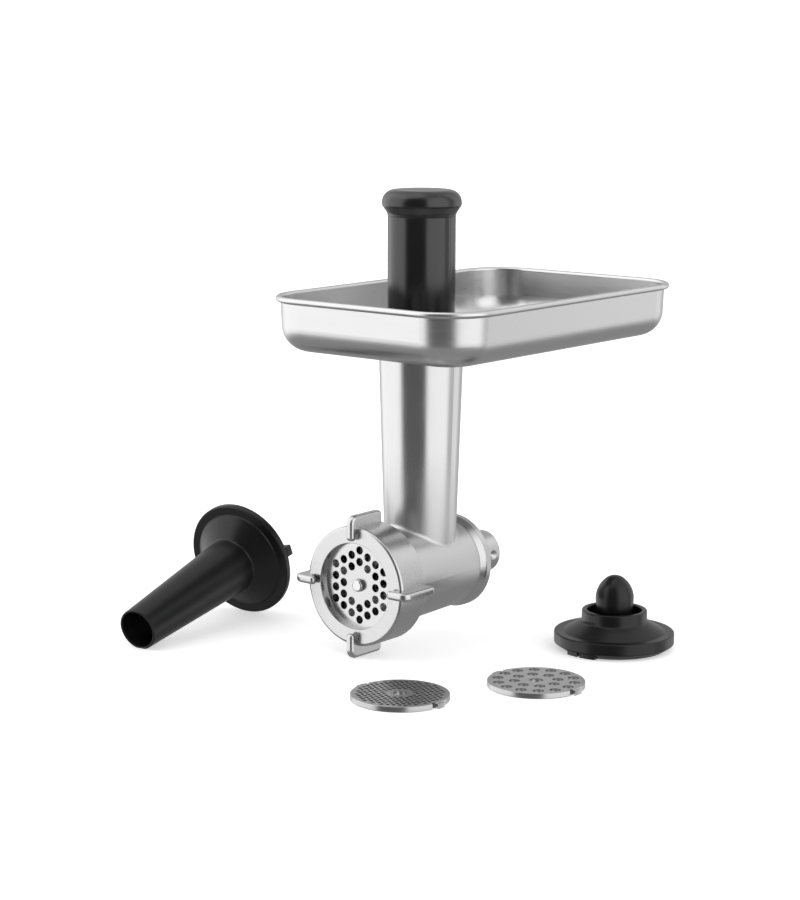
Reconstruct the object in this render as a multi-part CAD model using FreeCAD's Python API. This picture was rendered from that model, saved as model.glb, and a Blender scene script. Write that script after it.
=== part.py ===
"""Meat-grinder attachment for a stand mixer, with its loose plates and stuffing pieces.

Millimetres. The origin is the centre of the hub shoulder, where the attachment seats on the
mixer. +Y runs back along the hub spigot, -Y forward to the mouth of the grinder and +Z up the
feed tube. Each solid is written to parts/ as its own STEP file.
"""
import FreeCAD, Part

import math
import os

from FreeCAD import Vector

# ---------------------------------------------------------------- driving dimensions
FLOOR_Z = -54.3            # surface that the loose pieces lie on

# hub end
SPIGOT_R = 16.65
SPIGOT_L = 38.8
COLLAR_R = 36.4
COLLAR_T = 11.2
BUSH_R = 11.0
SHAFT_R = 8.0
RUNNING_GAP = 0.05
SEAL_L = 4.0
TANG_SQUARE = 9.4
TANG_FRONT_Y = 31.0
TANG_END_Y = 47.0
DIMPLE_Y = 29.5            # locking-screw dimple in the side of the spigot
DIMPLE_R = 4.2
DIMPLE_DEPTH = 4.0
INDEX_PIN_R = 2.4
INDEX_SHANK_R = 2.0
INDEX_PIN_OUT = 5.0
INDEX_PIN_IN = 7.0
INDEX_PIN_RADIUS = 27.0
RELIEF_R = 2.7             # relief in the shoulder's face round the index pin
RELIEF_T = 0.6

# barrel
BARREL_FRONT_Y = -115.3
BARREL_SHOULDER_Y = -95.0
BARREL_R_FRONT = 35.9
BARREL_R_REAR = 33.9
BORE_R = 31.0
REAR_WALL_T = 8.0
SEAT_Y = -111.9            # face that the plate sits on
SEAT_R = 35.35
PITCH = 6.0
THREAD_LEAD_IN = 2.0       # plain length before the first turn
THREAD_RUN_OUT = 2.5       # plain length after the last one
THREAD_CREST_R = 41.2
THREAD_ROOT_R = 39.2
THREAD_CREST_W = 1.9
THREAD_ROOT_W = 3.1

# screw ring
RING_FRONT_Y = -122.2
RING_REAR_Y = -93.2
RING_R = 45.4
RING_ROOT_R = 41.7         # bottom of the internal thread
RING_CREST_R = 39.8
RING_EDGE_R = 2.4
MOUTH_R_OUT = 32.9
MOUTH_R_IN = 32.0
LUG_R = 54.3
LUG_W = 6.4
LUG_EDGE_R = 2.4
HOOK_OUT = 6.4             # how far the hooks stand in front of the ring's face
HOOK_END_R = 35.3
HOOK_HEEL_R = 40.5         # inside this the hook stands clear of the face
HOOK_GAP = 2.6

# plates
PLATE_R = 35.1
PLATE_T = 4.0
PLATE_BORE_R = 4.9
EAR_R = 37.0
EAR_W = 8.0
NOTCH_W = 3.0
NOTCH_DEPTH = 2.0
MEDIUM_HOLE_R = 3.2
MEDIUM_STEP = 8.84
FINE_HOLE_R = 1.5
FINE_STEP = 4.25
FINE_FIELD_R = 31.0
COARSE_HOLE_R = 4.0
COARSE_OUTER = (14, 27.8)
COARSE_INNER = (8, 15.7)

# worm, knife and stud
WORM_FRONT_Y = -103.8
WORM_REAR_Y = -21.4
WORM_R = 30.0
WORM_ROOT_R_FRONT = 13.0
WORM_ROOT_R_REAR = 9.5
FLIGHT_PITCH = 24.0
FLIGHT_T = 4.0
WASHER_R = 16.0
WASHER_T = 2.0
STUD_R = 4.6
STUD_SQUARE = 12.0
STUD_SHANK_R = 6.0
STUD_TIP_Y = -119.6
KNIFE_FRONT_Y = -111.8
KNIFE_REAR_Y = -103.9
BLADE_TIP_R = 29.0
BLADE_T = 5.4
KNIFE_HUB_R = 11.5
SHAFT_SOCKET_L = 34.0
STUD_SOCKET_L = 20.0
CROSS_PIN_R = 2.0
CROSS_PIN_FORWARD = 14.0   # from the worm's rear end
KNIFE_TURN = 30.0          # degrees about the shaft, at rest

# feed tube
TUBE_Y = -43.2
TUBE_R_LOW = 28.46
TUBE_R_HIGH = 31.94
TUBE_LOW_Z = 57.0
TUBE_HIGH_Z = 166.0
TUBE_BORE_R = 26.3
TUBE_FOOT_FILLET = 3.5
TUBE_LEDGE_Z = 168.2       # ledge that carries the tray
NECK_R = 30.7
NECK_TOP_Z = 177.4

# food tray
TRAY_HALF_X = 97.5
TRAY_FRONT_Y = -123.6
TRAY_REAR_Y = 178.2
TRAY_RIM_Z = 210.6
TRAY_CORNER_R = 40.0
TRAY_LIP_R = 2.4
TRAY_LIP_W = 3.8
TRAY_DRAFT = 1.5           # how far the wall leans in from rim to floor
TRAY_SHEET = 0.9
TRAY_BEND_R = 20.0
TRAY_HOLE_R = 31.1
TRAY_HOLE_LIP = 4.0

# pusher
PUSHER_R = 25.6
PUSHER_WALL = 2.6
PUSHER_FOOT_Z = 40.0
PUSHER_STOP_R = 29.0
PUSHER_STOP_T = 3.2
HEAD_R = 30.0
HEAD_TOP_Z = 290.75
HEAD_H = 20.0
HEAD_ROUND_R = 9.4
HEAD_PLUG_L = 14.0

# sausage stuffer, lying on its flange and tip
STUFFER_X = -155.3
STUFFER_Y = -78.0
STUFFER_YAW = -84.1        # degrees from +X to the nozzle's direction, seen from above
STUFFER_DIP = 13.0         # degrees that the nozzle points down, with rim and tip both touching
STUFFER_L = 134.3
STUFFER_FLANGE_R = 46.0
STUFFER_FLANGE_Z = (-4.0, 1.6)
STUFFER_BAND_W = 7.2       # flat band round the flange
STUFFER_MOUTH_R = 31.5
STUFFER_FUNNEL_Z = 13.5    # where the funnel turns into the nozzle
STUFFER_TIP_R = 16.1
STUFFER_ROOT_R = 21.6
STUFFER_WALL = 1.8
STUFFER_SKIRT_R = 34.9
STUFFER_SKIRT_T = 3.0
STUFFER_SKIRT_Z = -14.0
STUFFER_EAR_R = 42.6
STUFFER_EAR_W = 8.0
STUFFER_EAR_T = 6.0
STUFFER_EAR_TURN = 101.0

# kibbe pieces, standing on the surface
KIBBE_X = 132.0
KIBBE_Y = 28.5
KIBBE_FLANGE_R = 45.6
KIBBE_FLANGE_Z = 12.7
KIBBE_FLANGE_W = 6.8       # flat band round the flange
KIBBE_COLLAR_R = 24.7
KIBBE_COLLAR_Z = 29.4
KIBBE_BORE_R = 20.8
KIBBE_CONE_R = 14.9
KIBBE_CONE_Z = 55.7
KIBBE_SKIRT_R = 39.5
KIBBE_SKIRT_T = 3.0
KIBBE_EAR_R = 44.2
KIBBE_EAR_W = 24.8
KIBBE_EAR_T = 5.6
KIBBE_NOTCH = (-2.3, 0.1)  # across the ear
KIBBE_HUB_R = 9.5
KIBBE_HUB_T = 9.0
KIBBE_SPOKE_W = 5.0
KIBBE_SPOKE_T = 4.6
KIBBE_EAR_TURN = 268.0

# loose plates
FINE_PLATE_AT = Vector(94.8, -185.4, FLOOR_Z)
COARSE_PLATE_AT = Vector(149.3, -97.5, FLOOR_Z)

X = Vector(1, 0, 0)
Y = Vector(0, 1, 0)
Z = Vector(0, 0, 1)


# ---------------------------------------------------------------- shape helpers
def corner(before, point, after, radius):
    """Start, middle and end of the arc that rounds one corner of a flat outline."""
    to_before = (before - point).normalize()
    to_after = (after - point).normalize()
    half = to_before.getAngle(to_after) / 2
    setback = radius / math.tan(half)
    bisector = (to_before + to_after).normalize()
    centre = point + bisector * (radius / math.sin(half))
    return point + to_before * setback, centre - bisector * radius, point + to_after * setback


def outline(points):
    """Closed wire through (u, v) or (u, v, corner radius), drawn in the XZ plane."""
    flat = [Vector(p[0], 0, p[1]) for p in points]
    spans = []
    for i, p in enumerate(points):
        radius = p[2] if len(p) > 2 else 0
        if radius:
            spans.append(corner(flat[i - 1], flat[i], flat[(i + 1) % len(flat)], radius))
        else:
            spans.append((flat[i], None, flat[i]))
    edges = []
    for i, (start, middle, end) in enumerate(spans):
        if middle is not None:
            edges.append(Part.Arc(start, middle, end).toShape())
        following = spans[(i + 1) % len(spans)][0]
        if end.distanceToPoint(following) > 1e-6:
            edges.append(Part.makeLine(end, following))
    return Part.Wire(edges)


def turned(points):
    """Solid of revolution about Z from an outline of (radius, height)."""
    return Part.Face(outline(points)).revolve(Vector(), Z, 360)


def along_y(shape):
    """A solid built up the Z axis, laid along +Y so that its heights become Y positions."""
    shape = shape.copy()
    shape.rotate(Vector(), X, -90)
    return shape


def turned_y(points):
    """Solid of revolution about Y from an outline of (radius, y)."""
    return along_y(turned(points))


def rod(radius, start, end):
    """Cylinder between two points."""
    return Part.makeCylinder(radius, start.distanceToPoint(end), start, end - start)


def rod_y(radius, y0, y1):
    return rod(radius, Vector(0, y0, 0), Vector(0, y1, 0))


def over_feed(shape):
    """A solid built about the Z axis, moved to stand on the feed tube's axis."""
    return shape.translated(Vector(0, TUBE_Y, 0))


def bar(x, y, z):
    """Box from three (low, high) pairs."""
    return Part.makeBox(x[1] - x[0], y[1] - y[0], z[1] - z[0], Vector(x[0], y[0], z[0]))


def spread(shape, count, axis, first=0.0):
    """Copies of a shape, evenly turned about an axis through the origin."""
    copies = []
    for i in range(count):
        item = shape.copy()
        item.rotate(Vector(), axis, first + 360.0 * i / count)
        copies.append(item)
    return copies


def helical_ridge(root_r, crest_r, root_w, crest_w, pitch, turns, overlap=0.4):
    """Right-hand ridge of trapezoid section about Z, starting at height 0.

    The ridge grows from root_r towards crest_r, inwards where crest_r is the smaller, and
    reaches an overlap past root_r so that it joins the wall it stands on.
    """
    side = math.copysign(overlap, crest_r - root_r)
    section = Part.makePolygon([
        Vector(root_r - side, 0, -root_w / 2),
        Vector(crest_r, 0, -crest_w / 2),
        Vector(crest_r, 0, crest_w / 2),
        Vector(root_r - side, 0, root_w / 2),
        Vector(root_r - side, 0, -root_w / 2),
    ])
    path = Part.Wire(Part.makeHelix(pitch, pitch * turns, root_r))
    return path.makePipeShell([section], True, True)


def eared_disc(radius, thickness):
    """Plate blank standing on z = 0: a disc with two opposite ears and a notch beside each."""
    disc = turned([(0, 0), (radius, 0, 0.4), (radius, thickness, 0.4), (0, thickness)])
    ear = bar((radius - 4, EAR_R), (-EAR_W / 2, EAR_W / 2), (0, thickness - 0.6))
    ear = ear.common(Part.makeCylinder(EAR_R, thickness))
    notch_at = -EAR_W / 2 - NOTCH_W / 2
    notch = bar((radius - NOTCH_DEPTH, EAR_R), (notch_at - NOTCH_W / 2, notch_at + NOTCH_W / 2),
                (-1, thickness + 1))
    disc = disc.fuse(spread(ear, 2, Z))
    return disc.cut(spread(notch, 2, Z)).removeSplitter()


def drilled(blank, thickness, places, radius):
    """Plate blank with its centre hole and a hole of one radius at each (x, y) place."""
    tools = [Part.makeCylinder(PLATE_BORE_R, thickness + 2, Vector(0, 0, -1))]
    for x, y in places:
        tools.append(Part.makeCylinder(radius, thickness + 2, Vector(x, y, -1)))
    return blank.cut(tools)


def hexagonal_places(step, rings):
    """Centres of a hexagonal grid whose columns run along Y."""
    places = []
    for column in range(-rings, rings + 1):
        rows = 2 * rings + 1 - abs(column)
        for row in range(rows):
            places.append((column * step * math.sqrt(3) / 2, (row - (rows - 1) / 2) * step))
    return places


def circle_places(count, radius, first=0.0):
    turn = 2 * math.pi / count
    return [(radius * math.cos(first + i * turn), radius * math.sin(first + i * turn))
            for i in range(count)]


# ---------------------------------------------------------------- housing
def barrel_outside():
    """Outer form of the barrel, solid through, without its thread."""
    return turned_y([
        (0, BARREL_FRONT_Y),
        (THREAD_ROOT_R, BARREL_FRONT_Y, 0.6),
        (THREAD_ROOT_R, BARREL_SHOULDER_Y),
        (BARREL_R_FRONT, BARREL_SHOULDER_Y + 1.5),
        (BARREL_R_REAR, -COLLAR_T),
        (0, -COLLAR_T),
    ])


def feed_tube_outside(foot_z=0.0):
    """Tapered outer form of the feed tube with the ledge and neck that locate the tray."""
    slope = (TUBE_R_HIGH - TUBE_R_LOW) / (TUBE_HIGH_Z - TUBE_LOW_Z)
    foot_r = TUBE_R_LOW - slope * (TUBE_LOW_Z - foot_z)
    ledge_r = TUBE_R_LOW + slope * (TUBE_LEDGE_Z - TUBE_LOW_Z)
    return over_feed(turned([
        (0, foot_z),
        (foot_r, foot_z),
        (ledge_r, TUBE_LEDGE_Z, 0.5),
        (NECK_R, TUBE_LEDGE_Z),
        (NECK_R, NECK_TOP_Z, 0.8),
        (0, NECK_TOP_Z),
    ]))


def feed_tube():
    """Feed tube, its foot shaped to the barrel with a fillet all round."""
    barrel = barrel_outside()
    joined = barrel.fuse(feed_tube_outside())
    seam = []
    for edge in joined.Edges:
        box = edge.BoundBox
        on_axis = abs(box.Center.x) < 1 and abs(box.Center.y - TUBE_Y) < 2
        if on_axis and box.ZMin > 15 and box.ZMax < BARREL_R_FRONT + 1:
            seam.append(edge)
    joined = joined.makeFillet(TUBE_FOOT_FILLET, seam)
    bore = Part.makeCylinder(TUBE_BORE_R, NECK_TOP_Z + 2, Vector(0, TUBE_Y, -1))
    return joined.cut(barrel).cut(bore)


def grinder_barrel():
    wall_y = -COLLAR_T - REAR_WALL_T
    barrel = barrel_outside()
    turns = (BARREL_SHOULDER_Y - BARREL_FRONT_Y - THREAD_LEAD_IN - THREAD_RUN_OUT) / PITCH
    thread = along_y(helical_ridge(THREAD_ROOT_R, THREAD_CREST_R, THREAD_ROOT_W,
                                   THREAD_CREST_W, PITCH, turns))
    barrel = barrel.fuse(thread.translated(Vector(0, BARREL_FRONT_Y + THREAD_LEAD_IN, 0)))
    slot = bar((SEAT_R - 3, EAR_R + 0.5), (BARREL_FRONT_Y - 1, SEAT_Y),
               (-EAR_W / 2 - 0.5, EAR_W / 2 + 0.5))
    hollows = [
        rod_y(BORE_R, BARREL_FRONT_Y - 1, wall_y),
        rod_y(SEAT_R, BARREL_FRONT_Y - 1, SEAT_Y),
        rod_y(BUSH_R, wall_y - 1, 1),
        rod(TUBE_BORE_R, Vector(0, TUBE_Y, 0), Vector(0, TUBE_Y, 60)),
    ]
    return barrel.cut(hollows + spread(slot, 2, Y))


def hub_spigot():
    """Shouldered rear hub: the collar seats on the mixer and the spigot enters its socket."""
    hub = turned_y([
        (BUSH_R, -COLLAR_T),
        (BARREL_R_REAR + 0.1, -COLLAR_T, 0.3),
        (COLLAR_R, -COLLAR_T + 5.0, 3.4),
        (COLLAR_R, 0, 1.0),
        (SPIGOT_R, 0),
        (SPIGOT_R, SPIGOT_L, 1.4),
        (BUSH_R, SPIGOT_L, 0.4),
    ])
    past = 0.4
    dimple = Part.makeCone(0, DIMPLE_R + past, DIMPLE_DEPTH + past,
                           Vector(SPIGOT_R - DIMPLE_DEPTH, DIMPLE_Y, 0), X)
    pin_hole = rod_y(INDEX_SHANK_R, -INDEX_PIN_IN, 1).fuse(rod_y(RELIEF_R, -RELIEF_T, 1))
    return hub.cut([dimple, pin_hole.translated(Vector(0, 0, INDEX_PIN_RADIUS))])


def hub_index_pin():
    """Shouldered pin that keys the attachment upright in the mixer's rim notch."""
    pin = turned_y([
        (0, -INDEX_PIN_IN),
        (INDEX_SHANK_R, -INDEX_PIN_IN),
        (INDEX_SHANK_R, 0),
        (INDEX_PIN_R, 0),
        (INDEX_PIN_R, INDEX_PIN_OUT, 0.8),
        (0, INDEX_PIN_OUT),
    ])
    return pin.translated(Vector(0, 0, INDEX_PIN_RADIUS))


def ring_about_y(outer, inner, y0, y1, edge=0.3):
    return turned_y([(inner, y0), (outer, y0, edge), (outer, y1, edge), (inner, y1)])


def shaft_bush():
    return ring_about_y(BUSH_R, SHAFT_R + RUNNING_GAP, -COLLAR_T - REAR_WALL_T + SEAL_L,
                        TANG_FRONT_Y - 1)


def shaft_seal():
    """Rubber ring round the shaft, with a groove that leaves two lips."""
    y0 = -COLLAR_T - REAR_WALL_T
    return turned_y([
        (BUSH_R, y0),
        (SHAFT_R + RUNNING_GAP, y0, 0.4),
        (SHAFT_R + RUNNING_GAP, y0 + 1.3, 0.4),
        (SHAFT_R + 1.2, y0 + 2.0),
        (SHAFT_R + RUNNING_GAP, y0 + 2.7, 0.4),
        (SHAFT_R + RUNNING_GAP, y0 + SEAL_L, 0.4),
        (BUSH_R, y0 + SEAL_L),
    ])


def thrust_washer():
    y1 = -COLLAR_T - REAR_WALL_T
    return ring_about_y(WASHER_R, SHAFT_R + 0.3, y1 - WASHER_T, y1)


# ---------------------------------------------------------------- turning pieces
def cross_pin_axis():
    y = WORM_REAR_Y - CROSS_PIN_FORWARD
    return Vector(-WORM_ROOT_R_REAR + 0.6, y, 0), Vector(WORM_ROOT_R_REAR - 0.6, y, 0)


def grind_worm():
    """Worm screw: a tapered core with a helical flight that fills the barrel's bore."""
    core = turned_y([
        (0, WORM_FRONT_Y),
        (WORM_ROOT_R_FRONT, WORM_FRONT_Y, 1.0),
        (WORM_ROOT_R_REAR + 0.4, WORM_REAR_Y - 10),
        (WORM_ROOT_R_REAR + 2.5, WORM_REAR_Y, 0.8),
        (0, WORM_REAR_Y),
    ])
    turns = (WORM_REAR_Y - WORM_FRONT_Y - FLIGHT_T - 6.0) / FLIGHT_PITCH
    flight = along_y(helical_ridge(WORM_ROOT_R_REAR, WORM_R, FLIGHT_T + 2.4, FLIGHT_T,
                                   FLIGHT_PITCH, turns, overlap=7.0))
    worm = core.fuse(flight.translated(Vector(0, WORM_FRONT_Y + FLIGHT_T / 2 + 1.3, 0)))
    start, end = cross_pin_axis()
    return worm.cut([
        rod_y(SHAFT_R, WORM_REAR_Y - SHAFT_SOCKET_L, WORM_REAR_Y + 1),
        rod_y(STUD_SHANK_R, WORM_FRONT_Y - 1, WORM_FRONT_Y + STUD_SOCKET_L),
        rod(CROSS_PIN_R, start, end),
    ])


def drive_shaft():
    """Round journal ending in the square tang that the mixer's socket turns."""
    journal = turned_y([
        (0, WORM_REAR_Y - SHAFT_SOCKET_L),
        (SHAFT_R, WORM_REAR_Y - SHAFT_SOCKET_L, 0.6),
        (SHAFT_R, TANG_FRONT_Y, 0.6),
        (0, TANG_FRONT_Y),
    ])
    half = TANG_SQUARE / 2
    tang = bar((-half, half), (TANG_FRONT_Y - 2, TANG_END_Y), (-half, half))
    ends = [e for e in tang.Edges if e.BoundBox.YMin > TANG_END_Y - 0.01]
    tang = tang.makeChamfer(1.2, ends)
    start, end = cross_pin_axis()
    return journal.fuse(tang).removeSplitter().cut(rod(CROSS_PIN_R, start, end))


def cross_pin():
    start, end = cross_pin_axis()
    return rod(CROSS_PIN_R, start, end)


def worm_stud():
    """Front stud: a shank in the worm, a square for the knife and a round end for the plate."""
    shank = rod_y(STUD_SHANK_R, WORM_FRONT_Y, WORM_FRONT_Y + STUD_SOCKET_L)
    half = STUD_SQUARE / 2
    square = bar((-half, half), (KNIFE_FRONT_Y + 0.6, WORM_FRONT_Y), (-half, half))
    pilot = turned_y([(0, STUD_TIP_Y), (STUD_R, STUD_TIP_Y, 1.2), (STUD_R, WORM_FRONT_Y),
                      (0, WORM_FRONT_Y)])
    square = square.common(rod_y(7.6, KNIFE_FRONT_Y, WORM_FRONT_Y))
    square.rotate(Vector(), Y, KNIFE_TURN)
    return shank.fuse([square, pilot]).removeSplitter()


def cutting_knife():
    """Four-bladed knife, each blade bevelled behind its cutting edge."""
    hub = ring_about_y(KNIFE_HUB_R, 2.0, KNIFE_FRONT_Y + 0.6, KNIFE_REAR_Y, 0.6)
    blade_back = KNIFE_FRONT_Y + BLADE_T
    section = Part.makePolygon([
        Vector(6, KNIFE_FRONT_Y, 5.0),
        Vector(6, KNIFE_FRONT_Y, -3.4),
        Vector(6, blade_back, -4.6),
        Vector(6, blade_back, 0.6),
        Vector(6, KNIFE_FRONT_Y, 5.0),
    ])
    blade = Part.Face(section).extrude(Vector(BLADE_TIP_R, 0, 0))
    blade = blade.common(rod_y(BLADE_TIP_R, KNIFE_FRONT_Y - 1, KNIFE_REAR_Y))
    knife = hub.fuse(spread(blade, 4, Y))
    half = STUD_SQUARE / 2 + 0.1
    square = bar((-half, half), (KNIFE_FRONT_Y - 1, KNIFE_REAR_Y + 1), (-half, half))
    knife = knife.cut(square).removeSplitter()
    knife.rotate(Vector(), Y, KNIFE_TURN)
    return knife


# ---------------------------------------------------------------- plates
def medium_plate():
    """Fitted plate: a hexagonal field of holes round a plain centre."""
    grid = hexagonal_places(MEDIUM_STEP, 3)
    places = [p for p in grid if math.hypot(*p) > 1.5 * MEDIUM_STEP]
    plate = drilled(eared_disc(PLATE_R, PLATE_T), PLATE_T, places, MEDIUM_HOLE_R)
    plate.rotate(Vector(), X, 90)
    return plate.translated(Vector(0, SEAT_Y, 0))


def fine_plate():
    grid = hexagonal_places(FINE_STEP, 8)
    places = [p for p in grid if PLATE_BORE_R + FINE_STEP < math.hypot(*p) < FINE_FIELD_R]
    plate = drilled(eared_disc(PLATE_R, PLATE_T), PLATE_T, places, FINE_HOLE_R)
    return plate.translated(FINE_PLATE_AT)


def coarse_plate():
    places = circle_places(*COARSE_OUTER) + circle_places(*COARSE_INNER)
    plate = drilled(eared_disc(PLATE_R, PLATE_T), PLATE_T, places, COARSE_HOLE_R)
    return plate.translated(COARSE_PLATE_AT)


# ---------------------------------------------------------------- screw ring
def grip_lug():
    """One finger grip: a fin along the ring's side whose hook turns in over the ring's face."""
    hook_y = RING_FRONT_Y - HOOK_OUT
    gap_y = RING_FRONT_Y - HOOK_GAP
    root_y = RING_FRONT_Y + 0.5
    root_r = RING_R - 1.5
    profile = outline([
        (LUG_R, RING_REAR_Y + 0.4, 3.5),
        (LUG_R, hook_y, 6.5),
        (HOOK_END_R, hook_y, 2.6),
        (HOOK_END_R, gap_y),
        (HOOK_HEEL_R, gap_y),
        (HOOK_HEEL_R, root_y),
        (root_r, root_y),
        (root_r, RING_REAR_Y + 0.4),
    ])
    lug = Part.Face(profile).extrude(Vector(0, LUG_W, 0)).translated(Vector(0, -LUG_W / 2, 0))
    lug = along_y(lug)
    outer_edges = []
    for edge in lug.Edges:
        box = edge.BoundBox
        outside = box.XMin > LUG_R - 0.01
        in_front = box.YMax < hook_y + 0.01
        if box.ZLength < 0.01 and (outside or in_front):
            outer_edges.append(edge)
    return lug.makeFillet(LUG_EDGE_R, outer_edges)


def retaining_ring():
    """Screw ring: clamps the plate with its front lip and turns by four hooked grips."""
    lip_y = SEAT_Y - PLATE_T - 0.02
    shell = turned_y([
        (MOUTH_R_OUT, RING_FRONT_Y, 0.4),
        (RING_R, RING_FRONT_Y, RING_EDGE_R),
        (RING_R, RING_REAR_Y, 1.2),
        (RING_ROOT_R, RING_REAR_Y, 0.6),
        (RING_ROOT_R, lip_y),
        (MOUTH_R_IN, lip_y),
    ])
    thread_y0 = BARREL_FRONT_Y + THREAD_LEAD_IN + PITCH / 2
    turns = (RING_REAR_Y - thread_y0 - THREAD_RUN_OUT) / PITCH
    thread = along_y(helical_ridge(RING_ROOT_R, RING_CREST_R, THREAD_ROOT_W, THREAD_CREST_W,
                                   PITCH, turns))
    ring = shell.fuse(thread.translated(Vector(0, thread_y0, 0)))
    return ring.fuse(spread(grip_lug(), 4, Y)).removeSplitter()


# ---------------------------------------------------------------- tray and pusher
def rounded_rectangle(inset, z, corner_r):
    """Plan outline of the tray, drawn in from the rim's outer edge by an inset."""
    x = TRAY_HALF_X - inset
    y0 = TRAY_FRONT_Y + inset
    y1 = TRAY_REAR_Y - inset
    wire = outline([(-x, y0, corner_r), (x, y0, corner_r), (x, y1, corner_r),
                    (-x, y1, corner_r)])
    wire.rotate(Vector(), X, -90)
    return wire.translated(Vector(0, 0, z))


def tray_block(inset, floor_z, bend_r):
    """Solid with the tray's leaning walls and its rounded floor edge."""
    low = rounded_rectangle(inset + TRAY_DRAFT, floor_z, TRAY_CORNER_R - inset - TRAY_DRAFT)
    high = rounded_rectangle(inset, TRAY_RIM_Z - TRAY_LIP_R, TRAY_CORNER_R - inset)
    block = Part.makeLoft([low, high], True, True)
    floor_edges = [e for e in block.Edges if e.BoundBox.ZMax < floor_z + 0.01]
    return block.makeFillet(bend_r, floor_edges)


def food_tray():
    """Pressed sheet tray with a rolled rim and a drawn hole that fits over the tube's neck."""
    outside = tray_block(TRAY_LIP_W, TUBE_LEDGE_Z, TRAY_BEND_R)
    inside = tray_block(TRAY_LIP_W + TRAY_SHEET, TUBE_LEDGE_Z + TRAY_SHEET,
                        TRAY_BEND_R - TRAY_SHEET)
    centre_z = TRAY_RIM_Z - TRAY_LIP_R
    path = rounded_rectangle(TRAY_LIP_R, centre_z, TRAY_CORNER_R - TRAY_LIP_R)
    start = Vector(0, TRAY_FRONT_Y + TRAY_LIP_R, centre_z)
    section = Part.Wire(Part.makeCircle(TRAY_LIP_R, start, X))
    lip = path.makePipeShell([section], True, False)
    hole_lip = over_feed(turned([
        (TRAY_HOLE_R, TUBE_LEDGE_Z),
        (TRAY_HOLE_R + TRAY_SHEET, TUBE_LEDGE_Z),
        (TRAY_HOLE_R + TRAY_SHEET, TUBE_LEDGE_Z + TRAY_HOLE_LIP),
        (TRAY_HOLE_R, TUBE_LEDGE_Z + TRAY_HOLE_LIP),
    ]))
    hole = Part.makeCylinder(TRAY_HOLE_R, 40, Vector(0, TUBE_Y, TUBE_LEDGE_Z - 10))
    return outside.cut(inside).fuse([lip, hole_lip]).cut(hole).removeSplitter()


def food_pusher():
    """Hollow pusher with a closed foot and the stop that rests on the tube's neck."""
    inner_r = PUSHER_R - PUSHER_WALL
    return over_feed(turned([
        (0, PUSHER_FOOT_Z),
        (PUSHER_R, PUSHER_FOOT_Z, 3.0),
        (PUSHER_R, NECK_TOP_Z),
        (PUSHER_STOP_R, NECK_TOP_Z, 0.6),
        (PUSHER_STOP_R, NECK_TOP_Z + PUSHER_STOP_T, 1.2),
        (PUSHER_R, NECK_TOP_Z + PUSHER_STOP_T, 0.8),
        (PUSHER_R, HEAD_TOP_Z - HEAD_H, 0.3),
        (inner_r, HEAD_TOP_Z - HEAD_H),
        (inner_r, PUSHER_FOOT_Z + PUSHER_WALL, 1.0),
        (0, PUSHER_FOOT_Z + PUSHER_WALL),
    ]))


def pusher_cap():
    """Rounded head that plugs the pusher's open top."""
    base = HEAD_TOP_Z - HEAD_H
    plug_r = PUSHER_R - PUSHER_WALL - 0.02
    return over_feed(turned([
        (0, base + 6),
        (plug_r - 2.4, base + 6, 1.0),
        (plug_r - 2.4, base - HEAD_PLUG_L),
        (plug_r, base - HEAD_PLUG_L, 0.6),
        (plug_r, base),
        (PUSHER_R, base, 0.3),
        (PUSHER_R + 0.6, base + 2.5, 2.0),
        (HEAD_R, base + 8.0, 4.0),
        (HEAD_R, HEAD_TOP_Z - 0.6, HEAD_ROUND_R),
        (0, HEAD_TOP_Z),
    ]))


# ---------------------------------------------------------------- loose stuffing pieces
def curved_ear(inner_r, outer_r, width, height):
    """Block on z = 0 that reaches out along +X and ends in a curved face."""
    ear = bar((inner_r, outer_r + 1), (-width / 2, width / 2), (0, height))
    return ear.common(Part.makeCylinder(outer_r, height))


def sausage_tube():
    """Stuffing tube: a shallow funnel flange running into a long tapered nozzle."""
    wall = STUFFER_WALL
    back_z, front_z = STUFFER_FLANGE_Z
    cone_foot_r = STUFFER_FLANGE_R - STUFFER_BAND_W
    body = turned([
        (STUFFER_FLANGE_R, back_z, 0.8),
        (STUFFER_FLANGE_R, front_z, 1.2),
        (cone_foot_r, front_z, 0.4),
        (cone_foot_r - 0.6, front_z + 1.0, 0.4),
        (STUFFER_ROOT_R + 0.9, STUFFER_FUNNEL_Z, 2.6),
        (STUFFER_TIP_R, STUFFER_L, 0.7),
        (STUFFER_TIP_R - wall, STUFFER_L, 0.7),
        (STUFFER_ROOT_R - wall + 0.3, STUFFER_FUNNEL_Z - 2.5, 3.0),
        (STUFFER_MOUTH_R, 0.0, 1.0),
        (STUFFER_MOUTH_R, back_z),
    ])
    skirt_in = STUFFER_SKIRT_R - STUFFER_SKIRT_T
    skirt = turned([
        (skirt_in, STUFFER_SKIRT_Z),
        (STUFFER_SKIRT_R, STUFFER_SKIRT_Z, 0.8),
        (STUFFER_SKIRT_R, back_z + 1.0),
        (skirt_in, back_z + 1.0),
    ])
    ear = curved_ear(skirt_in + 1.5, STUFFER_EAR_R, STUFFER_EAR_W, STUFFER_EAR_T)
    ear = ear.translated(Vector(0, 0, STUFFER_SKIRT_Z))
    stuffer = body.fuse([skirt] + spread(ear, 2, Z, STUFFER_EAR_TURN)).removeSplitter()
    stuffer.rotate(Vector(), Y, 90 + STUFFER_DIP)
    stuffer.rotate(Vector(), Z, STUFFER_YAW)
    rest_z = FLOOR_Z + STUFFER_FLANGE_R * math.cos(math.radians(STUFFER_DIP)) + 0.2
    return stuffer.translated(Vector(STUFFER_X, STUFFER_Y, rest_z))


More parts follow.
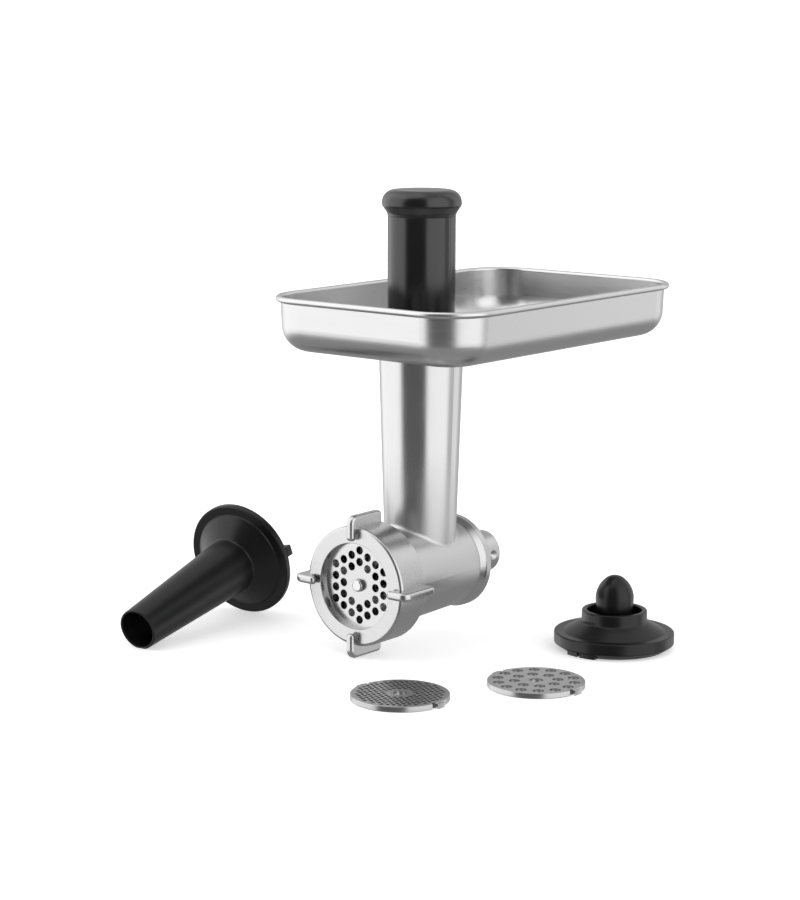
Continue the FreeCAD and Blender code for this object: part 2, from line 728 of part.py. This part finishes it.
def kibbe_ring():
    """Outer kibbe piece: flange, sloping cone and collar, with two notched ears at its foot."""
    skirt_in = KIBBE_SKIRT_R - KIBBE_SKIRT_T
    body = turned([
        (skirt_in, 0),
        (KIBBE_SKIRT_R, 0, 0.6),
        (KIBBE_FLANGE_R, 4.2, 0.8),
        (KIBBE_FLANGE_R, KIBBE_FLANGE_Z, 1.2),
        (KIBBE_FLANGE_R - KIBBE_FLANGE_W, KIBBE_FLANGE_Z, 0.6),
        (KIBBE_COLLAR_R + 0.2, KIBBE_FLANGE_Z + 8.0, 4.0),
        (KIBBE_COLLAR_R, KIBBE_COLLAR_Z, 1.2),
        (KIBBE_BORE_R, KIBBE_COLLAR_Z, 1.0),
        (KIBBE_BORE_R, KIBBE_FLANGE_Z + 4.0, 2.0),
        (skirt_in, 8.0, 2.0),
    ])
    ear = curved_ear(skirt_in + 0.5, KIBBE_EAR_R, KIBBE_EAR_W, KIBBE_EAR_T)
    notch = bar((KIBBE_SKIRT_R, KIBBE_EAR_R + 1), KIBBE_NOTCH, (-1, KIBBE_EAR_T))
    ears = spread(ear.cut(notch), 2, Z, KIBBE_EAR_TURN)
    return body.fuse(ears).removeSplitter().translated(Vector(KIBBE_X, KIBBE_Y, FLOOR_Z))


def kibbe_cone():
    """Inner kibbe piece: an egg-shaped former on a hub with three spokes and a foot ring."""
    former_z = KIBBE_HUB_T - 1.0
    foot_r = KIBBE_SKIRT_R - KIBBE_SKIRT_T - 0.6
    foot_in = foot_r - 3.4
    former = turned([
        (0, former_z),
        (KIBBE_CONE_R - 2.0, former_z, 1.5),
        (KIBBE_CONE_R, KIBBE_CONE_Z - 10.0, 19.0),
        (4.6, KIBBE_CONE_Z, 11.0),
        (0, KIBBE_CONE_Z),
    ])
    foot = turned([(foot_in, 0), (foot_r, 0, 0.5), (foot_r, 5.0, 0.5), (foot_in, 5.0)])
    hub = turned([(PLATE_BORE_R, 0), (KIBBE_HUB_R, 0, 0.5), (KIBBE_HUB_R, KIBBE_HUB_T),
                  (PLATE_BORE_R, KIBBE_HUB_T)])
    spoke = bar((KIBBE_HUB_R - 1.5, foot_in + 2.0), (-KIBBE_SPOKE_W / 2, KIBBE_SPOKE_W / 2),
                (0, KIBBE_SPOKE_T))
    cone = former.fuse([foot, hub] + spread(spoke, 3, Z, 90))
    socket = Part.makeCylinder(PLATE_BORE_R, 20, Vector(0, 0, -1))
    return cone.cut(socket).removeSplitter().translated(Vector(KIBBE_X, KIBBE_Y, FLOOR_Z))


# ---------------------------------------------------------------- output
PIECES = [
    grinder_barrel, feed_tube, hub_spigot, hub_index_pin, shaft_bush, shaft_seal,
    thrust_washer, grind_worm, drive_shaft, cross_pin, worm_stud, cutting_knife,
    medium_plate, retaining_ring, food_tray, food_pusher, pusher_cap, fine_plate,
    coarse_plate, sausage_tube, kibbe_ring, kibbe_cone,
]

os.makedirs("parts", exist_ok=True)
for piece in PIECES:
    shape = piece()
    if not shape.isValid() or len(shape.Solids) != 1:
        raise ValueError(f"{piece.__name__}: not one valid solid ({len(shape.Solids)})")
    shape.exportStep(f"parts/{piece.__name__}.step")
    print(piece.__name__, "volume", round(shape.Volume), "mm3")
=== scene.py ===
import math

import bmesh
import bpy
from mathutils import Matrix, Vector


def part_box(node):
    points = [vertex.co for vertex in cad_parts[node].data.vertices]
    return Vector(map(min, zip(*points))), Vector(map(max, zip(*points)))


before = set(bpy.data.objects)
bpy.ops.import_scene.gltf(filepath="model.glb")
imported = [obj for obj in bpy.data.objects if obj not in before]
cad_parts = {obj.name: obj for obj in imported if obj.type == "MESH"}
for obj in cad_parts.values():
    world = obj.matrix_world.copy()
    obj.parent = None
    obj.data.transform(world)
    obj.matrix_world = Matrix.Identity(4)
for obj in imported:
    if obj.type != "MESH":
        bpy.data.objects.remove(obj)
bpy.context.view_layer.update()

FLOOR_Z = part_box("kibbe_cone")[0].z
Y, Z = (0, 1, 0), (0, 0, 1)

# camera, solved for the real size of the object: metres, radians, and mm for the lens
CAMERA_AT = Vector((1.09634, -1.43576, 0.41277))
CAMERA_AZIMUTH = math.radians(38.72)
CAMERA_ELEVATION = math.radians(10.25)
CAMERA_ROLL = math.radians(0.22)
CAMERA_LENS = 94.48
CAMERA_SENSOR = 36.0
CAMERA_CLIP = (0.05, 50.0)

# studio surroundings: bearing from the camera in degrees, positive to the right, and
# brightness as a share of STUDIO_STRENGTH
STUDIO_STRENGTH = 2.0
PANELS = [(-180, 0.30), (-150, 0.35), (-141, 0.78), (-62, 0.84), (-52, 0.07), (12, 0.07),
          (19, 0.80), (82, 0.80), (87, 0.35), (103, 0.35), (108, 0.62), (128, 0.62),
          (138, 0.32), (180, 0.30)]
PANEL_TOP = (0.70, 0.90)       # sine of the elevation where the panels give way to the ceiling
PANEL_FOOT = (-0.30, -0.45)    # and where they give way to the dim ground
CEILING = 0.42
GROUND = 0.17

# softbox overhead, in metres and watts
SOFTBOX_AT = (-0.3, -0.4, 1.6)
SOFTBOX_AIM = (0, 0, 0.05)
SOFTBOX_SIZE = (1.2, 1.2)
SOFTBOX_POWER = 3.0

# floor: flat to FLAT_R, then swept up by SWEEP, in metres
FLAT_R = 5.0
SWEEP = 3.5
FLOOR_GAP = 0.0002             # clearance under the pieces that stand on the floor
SWEEP_STEPS = 12               # facets up the sweep
ROUND_STEPS = 96               # and round the floor
WELD = 0.0001                  # floor points closer than this are one point
FLOOR_SHADES = (0.86, 0.90)
FLOOR_ROUGHNESS = 0.6
FLOOR_GLOW = 0.45              # light of its own, so that it shows as near white

# scales of the noise in each finish: the larger, the finer
METAL_CLOUDS = 16.0
PLASTIC_CLOUDS = 22.0
FLOOR_CLOUDS = 3.0
CAST_GRAIN = 350.0
PLASTIC_GRAIN = 1700.0
BRUSH_ACROSS, BRUSH_ALONG = 800, 30
TUBE_SCALE = (700, 700, 30)
TURNED_RINGS, TURNED_DRIFT = 1400, 12
FINE_DETAIL = 2.0              # octaves in the grain, which is too fine to need more

# depth of the relief, in metres
CAST_DEPTH = 0.000001
BRUSH_DEPTH = 0.0000006
TUBE_DEPTH = 0.000001
TURNED_DEPTH = 0.000002
PLASTIC_DEPTH = 0.00001

# how far the tool marks change the gloss, as a share of the roughness
TURNED_CONTRAST = 0.16
SOFT_CONTRAST = 0.10

# noise values at which an effect is at its least and at its most
CLOUD_SPAN = (0.3, 0.7)
TONE_SPAN = (0.2, 0.8)
GLOSS_SPAN = (0.25, 0.75)

# metal: its darkest and lightest shade as shares of its own, what clouds and marks each add to
# the place between those two, and what clouds add to the roughness
METAL_SHADES = (0.8, 1.2)
CLOUD_TONE = (0.45, 0.55)
MARK_TONE = (-0.05, 0.05)
CLOUD_GLOSS = (-0.02, 0.03)

# plastic: the ends of its shade and of its roughness as shares of its own, by the clouds, and
# what the grain adds to the roughness
PLASTIC_SHADES = (0.75, 1.3)
PLASTIC_GLOSS = (0.88, 1.14)
GRAIN_GLOSS = (-0.03, 0.03)

# feed tube: roughness at its foot and above, and the heights between which it changes
TUBE_ROUGHNESS = (0.42, 0.24)
TUBE_CHANGE = (0.025, 0.095)


# ---------------------------------------------------------------- node helpers
class Nodes:
    """Short calls for building a node tree."""

    def __init__(self, tree):
        self.tree = tree

    def add(self, kind, values=(), **settings):
        node = self.tree.nodes.new(kind)
        for key, value in settings.items():
            setattr(node, key, value)
        for socket, value in dict(values).items():
            if isinstance(value, bpy.types.NodeSocket):
                self.tree.links.new(value, node.inputs[socket])
            else:
                node.inputs[socket].default_value = value
        return node

    def maths(self, operation, first, second):
        return self.add("ShaderNodeMath", {0: first, 1: second}, operation=operation).outputs[0]

    def vectors(self, operation, first, second):
        node = self.add("ShaderNodeVectorMath", {0: first, 1: second}, operation=operation)
        return node.outputs["Value" if operation == "DOT_PRODUCT" else "Vector"]

    def between(self, factor, low, high, start, end):
        """A number that runs from low to high as the factor runs from start to end."""
        return self.add("ShaderNodeMapRange", {"Value": factor, "From Min": start,
                                               "From Max": end, "To Min": low,
                                               "To Max": high}).outputs["Result"]

    def blend(self, factor, first, second):
        return self.add("ShaderNodeMix", {0: factor, 6: first, 7: second},
                        data_type="RGBA").outputs[2]


class Surface(Nodes):
    """A node material under construction."""

    def __init__(self, name, **sockets):
        self.material = bpy.data.materials.new(name)
        self.material.use_nodes = True
        super().__init__(self.material.node_tree)
        self.shader = self.tree.nodes["Principled BSDF"]
        for socket, value in sockets.items():
            self.shader.inputs[socket.replace("_", " ")].default_value = value

    def place(self):
        """Object coordinates in metres."""
        return self.add("ShaderNodeTexCoord").outputs["Object"]

    def stretched(self, scale):
        return self.vectors("MULTIPLY", self.place(), scale)

    def about(self, axis, centre, scale):
        """Coordinates for rings about an axis: fast with radius and height, slow with angle."""
        offset = self.vectors("SUBTRACT", self.place(), centre)
        height = self.vectors("DOT_PRODUCT", offset, axis)
        across = self.vectors("MULTIPLY", offset, tuple(1 - abs(a) for a in axis))
        radius = self.add("ShaderNodeVectorMath", {0: across}, operation="LENGTH").outputs["Value"]
        rings = self.add("ShaderNodeCombineXYZ", {"X": radius, "Y": height}).outputs["Vector"]
        scaled = self.vectors("MULTIPLY", rings, (scale, scale, 0))
        return self.vectors("ADD", scaled, self.stretched((TURNED_DRIFT,) * 3))

    def noise(self, vector, scale=1.0, detail=3.0):
        return self.add("ShaderNodeTexNoise", {"Vector": vector, "Scale": scale,
                                               "Detail": detail}).outputs["Fac"]

    def bump(self, height, distance):
        return self.add("ShaderNodeBump", {"Height": height,
                                           "Distance": distance}).outputs["Normal"]

    def finish(self, **links):
        for socket, source in links.items():
            self.tree.links.new(source, self.shader.inputs[socket.replace("_", " ")])
        return self.material


def grey(value):
    return (value, value, value, 1.0)


def shades(shade, span):
    """Two greys, at the two ends of a span given as shares of a shade."""
    return [grey(shade * share) for share in span]


# ---------------------------------------------------------------- materials
def metal(surface, shade, roughness, marks, depth, contrast=SOFT_CONTRAST):
    """Bare metal: tool marks in its tone, gloss and relief, over faint cloudy handling marks."""
    clouds = surface.noise(surface.place(), METAL_CLOUDS)
    tone = surface.maths("ADD", surface.between(clouds, *CLOUD_TONE, *CLOUD_SPAN),
                         surface.between(marks, *MARK_TONE, *TONE_SPAN))
    colour = surface.blend(tone, *shades(shade, METAL_SHADES))
    gloss = surface.between(marks, 1 - contrast, 1 + contrast, *GLOSS_SPAN)
    gloss = surface.maths("MULTIPLY", gloss, roughness)
    gloss = surface.maths("ADD", gloss, surface.between(clouds, *CLOUD_GLOSS, *CLOUD_SPAN))
    return surface.finish(Base_Color=colour, Roughness=gloss, Normal=surface.bump(marks, depth))


def cast_metal(name, shade, roughness):
    """Satin die casting, its skin slightly uneven."""
    s = Surface(name, Metallic=1.0)
    return metal(s, shade, roughness, s.noise(s.place(), CAST_GRAIN, FINE_DETAIL), CAST_DEPTH)


def brushed_metal(name, shade, roughness, across):
    """Sheet or bar with straight brush lines, close together across one axis."""
    s = Surface(name, Metallic=1.0)
    scale = tuple(BRUSH_ACROSS if a else BRUSH_ALONG for a in across)
    return metal(s, shade, roughness, s.noise(s.stretched(scale)), BRUSH_DEPTH)


def turned_metal(name, shade, roughness, axis, centre=(0, 0, 0)):
    """Lathe-turned metal with fine rings round its axis."""
    s = Surface(name, Metallic=1.0)
    marks = s.noise(s.about(axis, centre, TURNED_RINGS))
    return metal(s, shade, roughness, marks, TURNED_DEPTH, TURNED_CONTRAST)


def tube_metal(name, shade):
    """Tube polished bright along most of its height, with a duller casting skin at its foot."""
    s = Surface(name, Metallic=1.0)
    height = s.add("ShaderNodeSeparateXYZ", {"Vector": s.place()}).outputs["Z"]
    roughness = s.between(height, *TUBE_ROUGHNESS, *TUBE_CHANGE)
    return metal(s, shade, roughness, s.noise(s.stretched(TUBE_SCALE)), TUBE_DEPTH)


def plastic(name, shade, roughness, specular=0.5):
    """Moulded plastic with a fine grain and faint flow clouds."""
    s = Surface(name, Specular_IOR_Level=specular)
    grain = s.noise(s.place(), PLASTIC_GRAIN, FINE_DETAIL)
    clouds = s.noise(s.place(), PLASTIC_CLOUDS)
    colour = s.blend(clouds, *shades(shade, PLASTIC_SHADES))
    gloss = s.between(clouds, *(roughness * share for share in PLASTIC_GLOSS), *CLOUD_SPAN)
    gloss = s.maths("ADD", gloss, s.between(grain, *GRAIN_GLOSS, *CLOUD_SPAN))
    return s.finish(Base_Color=colour, Roughness=gloss, Normal=s.bump(grain, PLASTIC_DEPTH))


def middle(node):
    """The middle of a piece's box."""
    low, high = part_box(node)
    return tuple((low + high) / 2)


def dress():
    """One material to each piece, by what it is made of. The numbers are shade and roughness."""
    casting = cast_metal("satin_casting", 0.56, 0.33)
    shaft_steel = turned_metal("turned_steel", 0.58, 0.24, Y)
    black = plastic("black_plastic", 0.005, 0.31, specular=0.36)
    finishes = {
        "grinder_barrel": casting,
        "retaining_ring": cast_metal("bright_casting", 0.56, 0.28),
        "feed_tube": tube_metal("satin_tube", 0.58),
        "hub_spigot": turned_metal("turned_hub", 0.56, 0.28, Y),
        "hub_index_pin": shaft_steel,
        "shaft_bush": turned_metal("sintered_bronze", 0.36, 0.42, Y),
        "shaft_seal": plastic("seal_rubber", 0.02, 0.6),
        "thrust_washer": plastic("washer_plastic", 0.7, 0.4),
        "grind_worm": cast_metal("worm_casting", 0.55, 0.30),
        "drive_shaft": shaft_steel,
        "cross_pin": shaft_steel,
        "worm_stud": turned_metal("stud_steel", 0.60, 0.20, Y),
        "cutting_knife": brushed_metal("ground_knife", 0.60, 0.24, Z),
        "medium_plate": turned_metal("ground_plate", 0.57, 0.26, Y),
        "food_tray": brushed_metal("tray_steel", 0.63, 0.31, Z),
        "food_pusher": plastic("gloss_black_plastic", 0.005, 0.21, specular=0.65),
        "pusher_cap": plastic("cap_black_plastic", 0.005, 0.24, specular=0.65),
        "fine_plate": turned_metal("fine_plate_steel", 0.49, 0.28, Z, middle("fine_plate")),
        "coarse_plate": turned_metal("coarse_plate_steel", 0.52, 0.28, Z,
                                     middle("coarse_plate")),
        "sausage_tube": black,
        "kibbe_ring": black,
        "kibbe_cone": black,
    }
    for node, finish in finishes.items():
        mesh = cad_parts[node].data
        mesh.materials.clear()
        mesh.materials.append(finish)


# ---------------------------------------------------------------- stage, light and camera
def studio_world():
    """Soft studio surroundings: bright panels left and right of the camera, dark between."""
    world = bpy.data.worlds.new("studio")
    bpy.context.scene.world = world
    world.use_nodes = True
    n = Nodes(world.node_tree)
    direction = n.add("ShaderNodeTexCoord").outputs["Generated"]
    turned = n.add("ShaderNodeVectorRotate", {"Vector": direction, "Angle": -CAMERA_AZIMUTH},
                   rotation_type="Z_AXIS").outputs["Vector"]
    part = n.add("ShaderNodeSeparateXYZ", {"Vector": turned}).outputs
    bearing = n.maths("ARCTAN2", part["X"], n.maths("MULTIPLY", part["Y"], -1.0))
    ramp = n.add("ShaderNodeValToRGB", {"Fac": n.between(bearing, 0, 1, -math.pi, math.pi)})
    stops = ramp.color_ramp.elements
    stops.remove(stops[-1])
    for i, (degrees, value) in enumerate(PANELS):
        place = (degrees + 180) / 360
        stop = stops[0] if i == 0 else stops.new(place)
        stop.position = place
        stop.color = grey(value)
    upper = n.blend(n.between(part["Z"], 0, 1, *PANEL_TOP), ramp.outputs["Color"], grey(CEILING))
    whole = n.blend(n.between(part["Z"], 0, 1, *PANEL_FOOT), upper, grey(GROUND))
    background = world.node_tree.nodes["Background"]
    background.inputs["Strength"].default_value = STUDIO_STRENGTH
    n.tree.links.new(whole, background.inputs["Color"])


def softbox(name, location, target, size, power):
    data = bpy.data.lights.new(name, "AREA")
    data.shape = "RECTANGLE"
    data.size, data.size_y = size
    data.energy = power
    lamp = bpy.data.objects.new(name, data)
    lamp.location = location
    lamp.rotation_euler = (Vector(target) - Vector(location)).to_track_quat("-Z", "Y").to_euler()
    bpy.context.scene.collection.objects.link(lamp)


def floor():
    """Pale floor that sweeps up far away on every side, so that no horizon shows."""
    s = Surface("pale_floor", Roughness=FLOOR_ROUGHNESS, Emission_Color=grey(1.0),
                Emission_Strength=FLOOR_GLOW)
    s.finish(Base_Color=s.blend(s.noise(s.place(), FLOOR_CLOUDS), *shades(1.0, FLOOR_SHADES)))
    profile = [(0.0, 0.0), (FLAT_R, 0.0)]
    for i in range(1, SWEEP_STEPS + 1):
        a = math.pi / 2 * i / SWEEP_STEPS
        profile.append((FLAT_R + SWEEP * math.sin(a), SWEEP * (1 - math.cos(a))))
    made = bmesh.new()
    points = [made.verts.new((r, 0, z)) for r, z in profile]
    lines = [made.edges.new(pair) for pair in zip(points, points[1:])]
    bmesh.ops.spin(made, geom=points + lines, axis=Z, cent=(0, 0, 0), angle=2 * math.pi,
                   steps=ROUND_STEPS, use_merge=True)
    bmesh.ops.remove_doubles(made, verts=made.verts, dist=WELD)
    mesh = bpy.data.meshes.new("floor")
    made.to_mesh(mesh)
    made.free()
    mesh.shade_smooth()
    mesh.materials.append(s.material)
    sheet = bpy.data.objects.new("floor", mesh)
    sheet.location = (0, 0, FLOOR_Z - FLOOR_GAP)
    sheet.visible_glossy = False
    bpy.context.scene.collection.objects.link(sheet)


def camera():
    data = bpy.data.cameras.new("photo_view")
    data.lens = CAMERA_LENS
    data.sensor_width = CAMERA_SENSOR
    data.clip_start, data.clip_end = CAMERA_CLIP
    eye = bpy.data.objects.new("photo_view", data)
    a, e = CAMERA_AZIMUTH, CAMERA_ELEVATION
    ahead = Vector((-math.sin(a) * math.cos(e), math.cos(a) * math.cos(e), -math.sin(e)))
    eye.location = CAMERA_AT
    turn = ahead.to_track_quat("-Z", "Y").to_matrix().to_4x4()
    eye.rotation_euler = (turn @ Matrix.Rotation(CAMERA_ROLL, 4, "Z")).to_euler()
    bpy.context.scene.collection.objects.link(eye)
    bpy.context.scene.camera = eye


dress()
studio_world()
floor()
camera()
softbox("top_softbox", SOFTBOX_AT, SOFTBOX_AIM, SOFTBOX_SIZE, SOFTBOX_POWER)
bpy.context.scene.view_settings.view_transform = "Standard"
